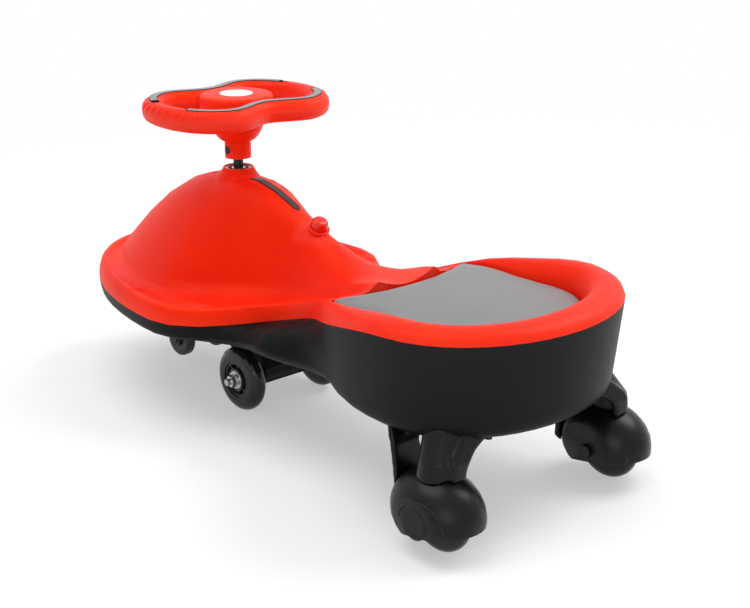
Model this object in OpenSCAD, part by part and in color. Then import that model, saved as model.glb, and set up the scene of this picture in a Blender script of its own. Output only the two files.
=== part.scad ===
// Wiggle car: a ride-on toy that is driven by swinging the steering wheel from side to side.
// +X points forward, +Y to the rider's left and +Z up. The origin is on the ground below mid length.

/* [Body outline] */
// Where the rear lobe is widest
rear_lobe_x = -250; // [-270:1:-230]
// Length of the rear lobe behind its widest place
rear_lobe_l = 124; // [110:1:140]
// Half width of the rear lobe
rear_half_w = 158; // [145:1:170]
// Where the waist is narrowest
waist_x = -25; // [-35:1:-15]
// Half width of the waist
waist_half_w = 77; // [72:1:84]
// Where the front lobe is widest
front_lobe_x = 133; // [125:1:145]
// Length of the front lobe ahead of its widest place
front_lobe_l = 270; // [258:1:280]
// Half width of the front lobe
front_half_w = 168; // [160:1:178]

/* [Body heights] */
// Underside of the tub
floor_z = 113; // [111:1:116]
// Height of the parting line round the seat
part_rear_z = 218; // [212:1:226]
// Height of the parting line round the nose
part_front_z = 132.5; // [129:0.5:138]
// Where the parting line starts to drop
drop_start_x = -268; // [-280:1:-250]
// Where the parting line reaches the height of the nose
drop_end_x = 100; // [85:1:115]
// Wall of the tub and of the cowl
wall = 3; // [2.5:0.1:3.5]
// Round between the wall and the underside of the tub
tub_edge_r = 20; // [14:1:24]
// Lean of the tub wall, in degrees
tub_draft = 6; // [3:0.5:8]
// How far the tub's foot stands out at the waist
tub_flare = 46; // [40:1:50]
// Length of that flare to each side of the waist
tub_flare_l = 110; // [100:1:120]

/* [Cowl] */
// Width of the rim round the seat
rim_w = 44; // [38:1:48]
// Height of the rim above the parting line
rim_rise = 13; // [9:0.5:16]
// Width of the rounded edge round the foot rests
edge_w = 16; // [12:1:20]
// Height of the foot rests above the parting line
edge_rise = 20; // [16:0.5:22]
// Height of the step from a foot rest to the foot of the hump
step_rise = 9; // [6:0.5:12]
// Half width of the hump at its foot
hump_half_w = 113; // [105:1:118]
// Length of the hump ahead of the steering column
hump_front_l = 198; // [190:1:201]
// Height of the hump beside the steering column
apex_z = 272; // [262:1:278]
// Half width of the tail that runs from the hump to the seat
tail_half_w = 41; // [36:1:45]
// Where the tail has reached its own width
tail_x = 35; // [25:1:45]
// Height of the tail at the seat
tail_z = 206; // [203:0.5:209]
// Where the ridge starts to fall from the hump
ridge_top_x = 148; // [140:1:158]
// Where the ridge reaches the height of the tail
ridge_end_x = -69; // [-80:1:-60]

/* [Seat] */
// Floor of the recess for the seat pad
seat_floor_z = 199; // [196:0.5:201]
// Thickness of the seat pad
pad_t = 7; // [5:0.5:8]
// Crown of the seat pad above its edge
pad_crown = 2.5; // [1:0.5:4]
// Gap between the seat pad and the wall of its recess
pad_gap = 1.2; // [0.8:0.1:2]
// Where the seat rim starts to narrow towards the waist
rim_taper_x = -205; // [-215:1:-195]
// Front tips of the seat pad
horn_x = -110; // [-116:1:-104]
// Front edge of the seat pad on the centre line
apron_x = -128; // [-136:1:-120]

/* [Steering column] */
// Steering axis
column_x = 180; // [172:1:186]
// Diameter of the steering shaft
shaft_d = 12; // [10:0.5:13]
// Outer diameter of the column bearing
column_bearing_d = 32; // [30:0.5:33]
// Width of the column bearing
column_bearing_w = 10; // [8:0.5:11]
// Diameter of the boss round the column bearing
boss_d = 37; // [36:0.5:42]
// Top of the boss
boss_z = 280; // [277:0.5:286]
// Radial running clearance of the shaft in its bearings
run_fit = 0.05; // [0.02:0.01:0.08]

/* [Steering wheel] */
// Half length of the rim, along its middle
rim_half_l = 100; // [94:1:108]
// Half depth of the rim at its waist, along its middle
rim_waist = 54; // [51:1:57]
// Half depth of the rim at its lobes, along its middle
rim_lobe = 74; // [68:1:80]
// Width of the rim
rim_tube_w = 28; // [25:1:31]
// Height of the rim
rim_tube_h = 26; // [22:1:29]
// Height of the middle of the rim above the boss
rim_lift = 75; // [70:1:82]
// Diameter of the hub
hub_d = 89; // [84:1:94]
// Height of the top of the hub above the middle of the rim
hub_rise = 15; // [14:0.5:17]
// Diameter of the collar that holds the shaft
collar_d = 32; // [28:1:36]
// Gap between the boss and the collar
collar_gap = 12; // [9:1:18]
// Width of the grip strips
strip_w = 10; // [8:0.5:12]
// Depth of the grip strips
strip_t = 2.4; // [1.6:0.2:3]

/* [Wheels] */
// Diameter of the running wheels
wheel_d = 80; // [76:1:82]
// Width of the running wheels
wheel_w = 21; // [20:0.5:24]
// Diameter of the wheel core
core_d = 44; // [40:1:48]
// Outer diameter of the wheel bearings
bearing_d = 22; // [20:0.5:24]
// Width of the wheel bearings
bearing_w = 7; // [6:0.5:8]
// Diameter of the axles
axle_d = 8; // [7:0.5:9]
// Distance between the middles of the rear wheels
rear_track = 256; // [250:1:262]
// Rear axle
rear_axle_x = -313; // [-318:1:-308]
// Distance between the middles of the front wheels
front_track = 120; // [114:1:124]
// Distance of the front axle behind the steering axis
axle_trail = 76; // [70:1:80]

/* [Rear wheel housings] */
// Length of a rear housing
hood_l = 108; // [104:1:114]
// Its height and width before the cheeks are cut
hood_d = 86; // [86:0.5:90]
// Its wall
hood_wall = 2.5; // [2:0.1:2.8]
// From the wheel's middle to the outer cheek
cheek_out = 37; // [34:0.5:38]
// From the wheel's middle to the inner cheek
cheek_in = 34; // [30:0.5:36]
// Its middle, ahead of the axle
hood_lead = 4; // [0:0.5:5]
// Its middle, above the axle
hood_lift = 2; // [0:0.5:3]
// How far its nose is raised, in degrees
hood_pitch = 10; // [6:1:14]
// Distance of the lower edge below the axle
hood_drop = 14; // [12:0.5:15]
// Slope of the lower edge, its rear up, in degrees
hood_tilt = 10; // [6:1:14]

/* [Safety wheels] */
// Diameter of the safety wheels
safety_d = 46; // [42:1:48]
// Width of the safety wheels
safety_w = 14; // [12:0.5:16]
// Distance of the safety wheels above the ground
safety_lift = 12; // [9:0.5:15]
// Distance of the safety wheels ahead of the steering axis
safety_lead = 100; // [96:1:104]
// Distance between the middles of the safety wheels
safety_track = 54; // [50:1:58]

/* [Button] */
// Place of the push button along the ridge
button_x = 28; // [22:1:34]
// Diameter of the push button
button_d = 20; // [18:0.5:22]
// Height of the push button above the ridge
button_h = 13; // [11:0.5:15]
// Travel of the push button
button_travel = 4; // [3:0.5:5]

/* [Hidden] */
// Sides of round shapes
$fn = 48;
// Steps along one side of the body outline, and round the rim of the steering wheel
steps = 40;
rim_steps = 56;
// Overrun of cuts
over = 1;
// Clearances: beside moving faces, and round pieces that are pressed or dropped in
seat_gap = 0.3;
press_gap = 0.03;

// Seat rim from the parting line inwards, as shares of its width and of rim_rise
band_shares = [0, 0.07, 0.22, 0.42, 0.62, 0.8, 0.92, 1];
rear_rise_shares = [0, 0.5, 0.8, 0.95, 1, 0.75, 0, -0.35];
// Edge round the foot rests, as shares of edge_rise
front_rise_shares = [0, 0.45, 0.8, 0.97, 1, 1, 0.98, 0.95];
// Foot rest and the step up to the hump, as shares of the way to the hump and of step_rise
rest_shares = [0.3, 0.6, 0.8, 0.92, 1];
step_shares = [-0.15, -0.2, 0, 0.7, 1];
// Rings on the hump and on its lining, as shares of its half width, and the roundness of its flanks
hump_shares = [0.96, 0.86, 0.7, 0.5, 0.28, 0.1];
lining_shares = [0.1, 0.5, 0.86];
hump_power = 1.04;
// How late the rear lobe draws in to the waist
waist_power = 1.35;
// Round of the tub's lower edge, as a share of the tub's height where the tub is low
tub_edge_share = 0.5;

// Screws, and the posts inside the body: places as shares of the length and of the half width
screw_d = 4;
screw_core_d = 3.8;
screw_head_d = 8;
screw_head_h = 2.4;
screw_l = 20;
post_d = 12;
post_inset_share = 0.9;
post_shares = [
    [0, 0], [0.25, 0.62], [0.25, -0.62], [0.48, 0.62], [0.48, -0.62], [0.64, 0.76], [0.64, -0.76], [1, 0]
];

// Seat pad: roundness of its front edge, and rings as shares of its outline, thickness and crown
apron_power = 2;
pad_steps = 10;
pad_edge = 10;
pad_rise_shares = [
    [0.97, 0, 0], [1, 0.3, 0], [1, 0.75, 0], [0.985, 1, 0], [0.85, 1, 0.55], [0.5, 1, 0.9], [0.15, 1, 1]
];

// Strip along the ridge
ridge_strip_x = 62;
ridge_strip_l = 88;
ridge_strip_w = 9;
ridge_strip_t = 1;
ridge_strip_gap = 0.2;
strip_steps = 16;

// Column bearing, its seat in the boss, and the bush in the floor of the tub
bearing_sink = 1.2;
bearing_z = boss_z - bearing_sink - column_bearing_w;
boss_lip = 4;
boss_shoulder = 2.5;
race_outer_t = 3;
race_inner_t = 2.5;
race_outer_d = column_bearing_d - 2 * race_outer_t;
race_inner_d = shaft_d + 2 * race_inner_t;
ball_count = 8;
ball_d = (race_outer_d - race_inner_d) / 2 - seat_gap;
seal_t = 0.8;
bush_flange_d = 30;
bush_flange_t = 3;
bush_wall = 3;
bush_l = 16;
bush_d = shaft_d + 2 * (run_fit + bush_wall);
thrust_t = 2.7;

// Axle carrier under the column
carrier_z = floor_z - bush_flange_t - seat_gap - thrust_t;
carrier_plate_t = 9;
carrier_d = 84;
carrier_w = 64;
carrier_wall = 4;
carrier_hub_d = 28;
carrier_nose_share = 0.6;
carrier_nose_h = 16;
axle_boss_d = 24;
axle_z = wheel_d / 2;
shaft_z = axle_z + axle_boss_d;
rim_z = boss_z + rim_lift;
shaft_top_z = rim_z - rim_tube_h / 2;

// Wheels, nuts and spacers
tyre_shoulder_d = 56;
tyre_power = 0.9;
core_wall = 3;
core_rim_w = 18;
core_spoke_w = 14;
core_spokes = 8;
bearing_ring = 2;
spacer_d = 13;
washer_t = 1.5;
nut_d = 15;
nut_t = 6.5;
axle_tip = 5.2;
front_axle_l = front_track + wheel_w + 2 * (seat_gap + washer_t + nut_t + axle_tip);

// Rear wheel housings: axle bosses, and the cap over the nut
egg_steps = 14;
egg_sides = 32;
hood_boss_d = 22;
hood_play = 0.4;
cap_d = 34;
cap_t = 1.5;

// Legs over the rear wheels: their walls as shares of their reach out from the wheel's middle
// and of the way up from the axle to the tub
leg_t = 7;
leg_reach = 43;
leg_front_lead = 59;
leg_front_lean = 8;
leg_rear_back = 18;
leg_post_lead = 4;
leg_front_x = rear_axle_x + leg_front_lead;
leg_rear_x = rear_axle_x - leg_rear_back;
leg_post_x = rear_axle_x + leg_post_lead;
leg_post_d = 40;
leg_lean = 12;
leg_post_out = 3;
leg_base_t = 5;
leg_base_in = 70;
leg_base_y = rear_track / 2 - leg_base_in;
leg_front_shares = [
    [0.4, 1.25], [0.42, 1.05], [0.36, 0.8], [0.34, 0.5], [0.36, 0.2], [-0.6, -0.1], [-0.75, 0],
    [-0.6, 0.5], [-0.5, 0.75], [-0.55, 0.9], [-0.75, 1], [-0.75, 1.25]
];
leg_rear_shares = [
    [-1.4, 1.2], [-1.4, 1], [-1.1, 0.99], [-0.85, 0.96], [-0.64, 0.89], [-0.48, 0.79], [-0.38, 0.67],
    [-0.32, 0.5], [0.1, 0.5], [0.1, 0.9], [-0.3, 1.2]
];
leg_screw_shares = [[0.15, 0.12], [0.85, 0.12], [0.8, 0.5]];
leg_screw_l = 10;

// Safety wheels
safety_play = 0.6;
safety_edge_r = 4;
bracket_t = 3;
bracket_end_d = 18;
pin_d = 6;
pin_head_d = 9;
pin_head_t = 1.5;

// Steering wheel
rim_round = 0.75;
rim_lobe_share = 0.62;
strip_start = 13;
strip_gap_depth_share = 0.1;
channel_share = 0.65;
hub_edge_r = 5;
bowl_d = 72;
bowl_z = rim_z - rim_tube_h / 2;
bowl_steps = 6;
bowl_power = 2.1;
collar_h = 21;
collar_z = boss_z + collar_gap;
collar_top_z = collar_z + collar_h;
badge_d = 40;
badge_t = 2;
badge_sink = 1.5;
collar_bolt_d = 6;
collar_bolt_z = collar_z + collar_h / 2;
collar_head_d = 10;
collar_head_h = 4;
rim_screw_d = 3;
rim_screw_head_d = 6;
rim_screw_head_h = 2;
rim_screw_l = 12;
rim_screw_sink = 3;
rim_screw_angles = [50, 130, 230, 310];
rim_probe_angle = 1;
rim_step_angle = 22.5;

// Push button and the guide that it slides in
slope_reach = 1;
button_slope = atan((ridge_z(button_x + slope_reach) - ridge_z(button_x - slope_reach)) / (2 * slope_reach));
button_depth = 30;
button_round = 5;
button_foot = 6;
button_stem_d = 6;
guide_wall = 2;
guide_lip = 1.5;
guide_d = button_d + 2 * guide_wall;
guide_flange_d = guide_d + 2 * guide_lip;
guide_flange_t = 1.5;
guide_floor_t = 2;
spring_d = 14;
spring_wire = 1.2;
spring_turns = 5;
spring_steps = 6;
spring_sides = 6;

// Smooth step from 0 to 1
function smooth(t) = let (c = min(1, max(0, t))) c * c * (3 - 2 * c);

// Swell from a to b, level at both ends
function swell(a, b, t) = a + (b - a) * (1 - cos(180 * min(1, max(0, t)))) / 2;

// Half width of the body at x
function half_w(x) =
    x < rear_lobe_x ? rear_half_w * sqrt(max(0, 1 - pow((x - rear_lobe_x) / rear_lobe_l, 2))) :
    x < waist_x ?
        swell(rear_half_w, waist_half_w, pow((x - rear_lobe_x) / (waist_x - rear_lobe_x), waist_power)) :
    x < front_lobe_x ? swell(waist_half_w, front_half_w, (x - waist_x) / (front_lobe_x - waist_x)) :
    front_half_w * sqrt(max(0, 1 - pow((x - front_lobe_x) / front_lobe_l, 2)));

// Height of the parting line at x
function part_z(x) =
    part_rear_z + (part_front_z - part_rear_z) * smooth((x - drop_start_x) / (drop_end_x - drop_start_x));

// Share of the seat rim in the edge at x: 1 round the seat and 0 from the waist forward
function seat_part(x) = 1 - smooth((x - rim_taper_x) / (horn_x - rim_taper_x));

// Width of the rim or edge at x
function band_w(x) = edge_w + (rim_w - edge_w) * seat_part(x);

// Stations round the outline: up the left side from the rear end and back down the right side
rear_end_x = rear_lobe_x - rear_lobe_l;
front_end_x = front_lobe_x + front_lobe_l;
middle_x = (front_end_x + rear_end_x) / 2;
mid_x = (rear_end_x + front_end_x) / 2;
half_l = (front_end_x - rear_end_x) / 2;
function station_x(q) = mid_x - half_l * cos(180 * q / steps);
function station_at(x) = steps * acos((mid_x - x) / half_l) / 180;
function outline_pt(q) = let (x = station_x(q)) [x, (q <= steps ? 1 : -1) * half_w(x)];

// Line from a station to the middle of the body, and a point on it
function to_spine(q) =
    let (p = outline_pt(q)) [min(column_x, max(rear_lobe_x, p[0])) - p[0], -p[1]];
function inset_pt(q, d) = let (v = to_spine(q)) outline_pt(q) + v * (d / norm(v));

// Half width of the foot of the hump and tail, measured from the middle along a station's line
function foot_r(q) =
    let (p = outline_pt(q), v = to_spine(q), n = v / norm(v))
    p[0] > column_x ? 1 / norm([n[0] / hump_front_l, n[1] / hump_half_w]) :
    tail_half_w + (hump_half_w - tail_half_w) * smooth((p[0] - tail_x) / (column_x - tail_x));

// Height of the ridge at x
function ridge_z(x) =
    tail_z + (apex_z - tail_z) * smooth((x - ridge_end_x) / (ridge_top_x - ridge_end_x));

// Heights of the cowl: its rim or edge, the foot rest, and the hump
function band_z(x, k) =
    part_z(x) + seat_part(x) * rim_rise * rear_rise_shares[k]
    + (1 - seat_part(x)) * edge_rise * front_rise_shares[k];
function rest_z(x, k) =
    let (w = seat_part(x), rest = part_z(x) + edge_rise * front_rise_shares[len(front_rise_shares) - 1])
    w * tail_z + (1 - w) * (rest + step_rise * step_shares[k]);
function hump_z(x, s) =
    let (w = seat_part(x), foot = rest_z(x, len(step_shares) - 1), top = w * tail_z + (1 - w) * ridge_z(x))
    foot + (top - foot) * pow(1 - s * s, hump_power);

// Cross section of the outside of the cowl at a station: distance in from the outline, and height
function cowl_section(q) =
    let (x = station_x(q), b = band_w(x), reach = norm(to_spine(q)), f = reach - foot_r(q))
    concat(
        [for (k = [0:len(band_shares) - 1]) [b * band_shares[k], band_z(x, k)]],
        [for (k = [0:len(rest_shares) - 1]) [b + (f - b) * rest_shares[k], rest_z(x, k)]],
        [for (s = hump_shares) [reach - foot_r(q) * s, hump_z(x, s)]]
    );

// Cross section of its lining, from the middle out, which drops below the seat recess
function lining_z(x, z) = (seat_part(x) > 0 ? min(z, seat_floor_z) : z) - wall;
function lining_section(q) =
    let (x = station_x(q), b = band_w(x), reach = norm(to_spine(q)), r = foot_r(q) - wall, f = reach - r)
    concat(
        [for (s = lining_shares) [reach - r * s, lining_z(x, hump_z(x, s))]],
        [for (k = [4, 1]) [b + (f - b) * rest_shares[k], lining_z(x, rest_z(x, k))]],
        [[b - wall / 2, lining_z(x, band_z(x, 7))]],
        [[b - wall, band_z(x, 7) - wall]],
        [[wall + (b - 2 * wall) * band_shares[4], band_z(x, 4) - wall]],
        [[wall, part_z(x)]]
    );

// Cross section of the outside of the tub, grown by g, from the underside up to the parting line
function edge_r(x) = min(tub_edge_r, tub_edge_share * (part_z(x) - floor_z));
function tub_pt(x, g, a) =
    let (
        r = edge_r(x), flare = tub_flare * (1 - smooth(abs(x - waist_x) / tub_flare_l)),
        lean = (part_z(x) - floor_z - r) * tan(tub_draft) - flare
    )
    [lean + r * (1 - sin(a)) - g, floor_z + r * (1 - cos(a)) - g * cos(a)];
function tub_section(q, g) =
    let (x = station_x(q)) concat([for (a = [0:30:90]) tub_pt(x, g, a)], [[-g, part_z(x)]]);
function tub_lining(q) =
    let (x = station_x(q)) concat([[wall, part_z(x)]], [for (a = [90:-45:0]) tub_pt(x, -wall, a)]);

// Flat cover over a ring of points that mirrors itself about the middle of the body
function ladder(start, half, flip) = [
    for (i = [0:half - 1])
        let (c = 2 * half - i - 1, d = (2 * half - i) % (2 * half))
        for (t = [[i, i + 1, c], [i, c, d]])
            if (t[0] != t[1] && t[1] != t[2] && t[0] != t[2])
                [for (k = [0:2]) start + t[flip ? k : 2 - k]]
];

// A closed solid from rings of points, with a flat cover over the first and the last,
// or with a fan to one point at each end
module ring_solid(rings, ends = []) {
    n = len(rings[0]);
    last = len(rings) - 1;
    top = len(rings) * n;
    sides = [
        for (r = [0:last - 1], q = [0:n - 1])
            let (a = r * n + q, b = r * n + (q + 1) % n)
            each [[a, b, a + n], [b, b + n, a + n]]
    ];
    covers = len(ends) == 0 ? concat(ladder(0, n / 2, false), ladder(last * n, n / 2, true)) : [
        for (q = [0:n - 1])
            let (p = (q + 1) % n)
            each [[p, q, top], [last * n + q, last * n + p, top + 1]]
    ];
    polyhedron(points = concat([for (r = rings) each r], ends), faces = concat(sides, covers), convexity = 6);
}

// Rings round the body from the cross sections of its stations
function rings_of(sections) = [
    for (k = [0:len(sections[0]) - 1]) [
        for (q = [0:2 * steps - 1])
            let (i = q <= steps ? q : 2 * steps - q, p = inset_pt(i, sections[i][k][0]))
            [p[0], (q <= steps ? 1 : -1) * p[1], sections[i][k][1]]
    ]
];

// The tub filled in and grown by g, which trims what seats against it
module tub_block(g) {
    ring_solid(rings_of([for (i = [0:steps]) tub_section(i, g)]));
}

// Screw posts that hang from the cowl and stand on the floor of the tub
function post_place(s) =
    s[0] == 0 ? [rear_end_x + rim_w * post_inset_share, 0] :
    s[0] == 1 ? [front_end_x - (front_end_x - column_x - hump_front_l) - post_d, 0] :
    let (x = rear_end_x + s[0] * 2 * half_l) [x, s[1] * half_w(x)];
function post_top(s) =
    let (p = post_place(s), q = s[0] == 0 ? 0 : s[0] == 1 ? steps : station_at(p[0]))
    let (z = lookup(norm(outline_pt(q) - [p[0], abs(p[1])]), cowl_section(q)))
    (p[0] > rear_end_x + rim_w && p[0] < horn_x ? min(z, seat_floor_z) : z) - wall / 2;
module at_posts() {
    for (s = post_shares) {
        translate(post_place(s)) children();
    }
}

module lower_shell() {
    color("#1b1b1c") difference() {
        union() {
            ring_solid(rings_of([for (i = [0:steps]) concat(tub_section(i, 0), tub_lining(i))]));
            translate([column_x, 0, floor_z + wall / 2])
                cylinder(d = bush_d + 2 * wall, h = bush_l - wall / 2);
        }
        translate([column_x, 0, floor_z - over]) cylinder(d = bush_d, h = bush_l + 2 * over);
        at_posts() translate([0, 0, floor_z - over]) cylinder(d = screw_d, h = screw_l + 2 * over);
        for (side = [-1, 1]) {
            mirrored(side) leg_screw_places() cylinder(d = screw_d, h = 2 * leg_base_t + leg_screw_l);
        }
    }
}

// Outline of the seat pad, grown by g: along the rim, and then along the front edge to the middle
function pad_side(g) = [
    for (q = [0:steps])
        let (x = station_x(q), p = inset_pt(q, band_w(x) + pad_gap - g))
        if (p[0] < horn_x - edge_w) p
];
pad_half_w = half_w(horn_x) - edge_w - pad_gap;
function pad_front_x(y) = apron_x + (horn_x - apron_x) * pow(abs(y) / pad_half_w, apron_power);
function pad_front_slope(y) =
    (horn_x - apron_x) * apron_power / pad_half_w * pow(abs(y) / pad_half_w, apron_power - 1);
function pad_front(g) = [
    for (k = [0:pad_steps])
        let (y = pad_half_w * (1 - k / pad_steps), m = pad_front_slope(y), tip = k == 0 ? g : 0)
        [pad_front_x(y) + g * sqrt(1 + m * m) + m * tip, y + tip]
];
function pad_outline(g) =
    let (left = concat(pad_side(g), pad_front(g)), n = len(left))
    concat(left, [for (k = [n - 2:-1:1]) [left[k][0], -left[k][1]]]);

// Places along the column and along the button's axis, which is square to the ridge
module at_column(z) {
    translate([column_x, 0, z]) children();
}
module at_button() {
    translate([button_x, 0, ridge_z(button_x)]) rotate([0, -button_slope, 0]) children();
}

module upper_shell() {
    color("#e23a18") difference() {
        union() {
            ring_solid(rings_of([for (i = [0:steps]) concat(lining_section(i), cowl_section(i))]));
            at_column(bearing_z - boss_lip) cylinder(d = boss_d, h = boss_z - bearing_z + boss_lip);
            for (s = post_shares) {
                translate(concat(post_place(s), floor_z + wall))
                    cylinder(d = post_d, h = post_top(s) - floor_z - wall);
            }
        }
        at_column(bearing_z) cylinder(d = column_bearing_d, h = boss_z - bearing_z + over);
        at_column(bearing_z - boss_lip - over)
            cylinder(d = column_bearing_d - 2 * boss_shoulder, h = boss_lip + 2 * over);
        at_posts() translate([0, 0, floor_z - over]) cylinder(d = screw_d, h = screw_l + over);
        translate([0, 0, seat_floor_z]) linear_extrude(apex_z - seat_floor_z) polygon(pad_outline(pad_gap));
        at_button() translate([0, 0, -button_depth]) cylinder(d = guide_d, h = 2 * button_depth);
    }
}

// A thin cushion with rounded edges and a low crown
module seat_pad() {
    mid_x = rear_lobe_x - rim_w;
    color("#8d8f92") ring_solid(
        [for (r = pad_rise_shares)
            [for (p = pad_outline(0))
                let (x = mid_x + (p[0] - mid_x) * r[0], y = p[1] * r[0], back = pad_edge * (1 - r[0]))
                [min(x, pad_front_x(y) - back), y, seat_floor_z + pad_t * r[1] + pad_crown * r[2]]]],
        [[mid_x, 0, seat_floor_z], [mid_x, 0, seat_floor_z + pad_t + pad_crown]]
    );
}

// Dark strip along the ridge, with a round lower end
module ridge_strip() {
    table = [for (i = [0:steps]) [station_x(i), hump_z(station_x(i), hump_shares[len(hump_shares) - 1])]];
    xs = [for (k = [0:strip_steps]) ridge_strip_x + ridge_strip_l * k / strip_steps];
    function end_share(x) = max(0, 1 - (x - ridge_strip_x) / ridge_strip_w * 2);
    function w(x) = ridge_strip_w / 2 * sqrt(max(0, 1 - pow(end_share(x), 2)));
    function edge(z) = concat(
        [for (x = xs) [x, w(x), lookup(x, table) + z]],
        [for (k = [strip_steps - 1:-1:1]) [xs[k], -w(xs[k]), lookup(xs[k], table) + z]]
    );
    color("#1e1f22") ring_solid([edge(ridge_strip_gap), edge(ridge_strip_gap + ridge_strip_t)]);
}

module screw(d, head_d, head_h, l) {
    cylinder(d = d, h = l);
    translate([0, 0, -head_h]) cylinder(d = head_d, h = head_h);
}

module shell_screws() {
    color("#8a8d90") at_posts() translate([0, 0, floor_z])
        screw(screw_core_d, screw_head_d, screw_head_h, screw_l);
}

module tube(d, bore, h) {
    difference() {
        cylinder(d = d, h = h);
        translate([0, 0, -over]) cylinder(d = bore, h = h + 2 * over);
    }
}

module column_bearing_outer() {
    color("#b9bcc0") at_column(bearing_z)
        tube(column_bearing_d - 2 * press_gap, race_outer_d, column_bearing_w);
}

module column_bearing_inner() {
    color("#b9bcc0") at_column(bearing_z) tube(race_inner_d, shaft_d + 2 * press_gap, column_bearing_w);
}

module column_bearing_balls() {
    color("#d0d2d4") at_column(bearing_z + column_bearing_w / 2) {
        for (k = [0:ball_count - 1]) {
            rotate(360 * k / ball_count) translate([(race_outer_d + race_inner_d) / 4, 0, 0])
                sphere(d = ball_d);
        }
    }
}

module column_bearing_seals() {
    color("#202124") {
        for (z = [bearing_z + seal_t, bearing_z + column_bearing_w - 2 * seal_t]) {
            at_column(z) tube(race_outer_d - 2 * press_gap, race_inner_d + 2 * seat_gap, seal_t);
        }
    }
}

module column_bush() {
    color("#e8e6df") difference() {
        union() {
            at_column(floor_z - bush_flange_t) cylinder(d = bush_flange_d, h = bush_flange_t);
            at_column(floor_z - bush_flange_t)
                cylinder(d = bush_d - 2 * press_gap, h = bush_flange_t + bush_l);
        }
        at_column(floor_z - bush_flange_t - over)
            cylinder(d = shaft_d + 2 * run_fit, h = bush_l + bush_flange_t + 2 * over);
    }
}

module thrust_washer() {
    color("#9a9da1") at_column(carrier_z) tube(bush_flange_d, shaft_d + 2 * press_gap, thrust_t);
}

module steering_shaft() {
    color("#17181a") difference() {
        at_column(shaft_z) cylinder(d = shaft_d, h = shaft_top_z - shaft_z);
        at_column(collar_bolt_z) along_y()
            cylinder(d = collar_bolt_d + 2 * press_gap, h = 2 * collar_d, center = true);
    }
}

// Trailing axle carrier: a top plate, a hub round the shaft and an arm that is hollow from below
module carrier_side(inset) {
    top = carrier_z - carrier_plate_t;
    polygon([
        [carrier_d / 2 * carrier_nose_share - inset, top + inset],
        [-carrier_d / 2 + inset, top + inset],
        [-axle_trail - axle_boss_d / 2 + inset, axle_z + axle_boss_d / 2 * carrier_nose_share],
        [-axle_trail - axle_boss_d / 2 * carrier_nose_share + inset, axle_z - axle_boss_d / 2 - over],
        [-axle_trail + axle_boss_d / 2, axle_z - axle_boss_d / 2 - over],
        [carrier_d / 2 * carrier_nose_share - inset, top - carrier_nose_h]
    ]);
}
module axle_carrier() {
    top = carrier_z - carrier_plate_t;
    color("#19191a") translate([column_x, 0, 0]) difference() {
        union() {
            translate([0, 0, top]) cylinder(d = carrier_d, h = carrier_plate_t);
            difference() {
                translate([0, carrier_w / 2, 0]) along_y() linear_extrude(carrier_w) carrier_side(0);
                translate([0, carrier_w / 2 - carrier_wall, -carrier_wall]) along_y()
                    linear_extrude(carrier_w - 2 * carrier_wall) carrier_side(carrier_wall);
            }
            translate([0, 0, shaft_z]) cylinder(d = carrier_hub_d, h = top - shaft_z);
            translate([-axle_trail, carrier_w / 2, axle_z]) along_y()
                cylinder(d = axle_boss_d, h = carrier_w);
        }
        translate([0, 0, shaft_z - over])
            cylinder(d = shaft_d + 2 * press_gap, h = carrier_z - shaft_z + 2 * over);
        translate([-axle_trail, carrier_w, axle_z]) along_y()
            cylinder(d = axle_d + 2 * press_gap, h = 2 * carrier_w);
    }
}

// Stack along an axle, which lies along Y through the middle of a wheel
module along_y() {
    rotate([90, 0, 0]) children();
}
module front_place(side) {
    translate([column_x - axle_trail, side * front_track / 2, axle_z]) children();
}
module rear_place(side) {
    translate([rear_axle_x, side * rear_track / 2, axle_z]) children();
}

module front_axle() {
    color("#c9ccd0") translate([column_x - axle_trail, front_axle_l / 2, axle_z]) along_y()
        cylinder(d = axle_d, h = front_axle_l);
}

module hex_nut(bore) {
    difference() {
        cylinder(d = nut_d, h = nut_t, $fn = 6);
        translate([0, 0, -over]) cylinder(d = bore, h = nut_t + 2 * over);
    }
}

module front_axle_nuts() {
    out = front_track / 2 + wheel_w / 2 + seat_gap + washer_t;
    color("#c9ccd0") translate([column_x - axle_trail, 0, axle_z]) {
        for (y = [-out, out + nut_t]) {
            translate([0, y, 0]) along_y() hex_nut(axle_d + 2 * press_gap);
        }
    }
}

// Tubes between the carrier and the inner bearings, and washers under the nuts
module front_axle_spacers() {
    inner = front_track / 2 - wheel_w / 2 - seat_gap;
    outer = front_track / 2 + wheel_w / 2 + seat_gap;
    color("#a9acb0") translate([column_x - axle_trail, 0, axle_z]) {
        for (y = [-carrier_w / 2, inner]) {
            translate([0, y, 0]) along_y() tube(spacer_d, axle_d + 2 * press_gap, inner - carrier_w / 2);
        }
        for (y = [-outer, outer + washer_t]) {
            translate([0, y, 0]) along_y() tube(spacer_d, axle_d + 2 * press_gap, washer_t);
        }
    }
}

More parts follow.
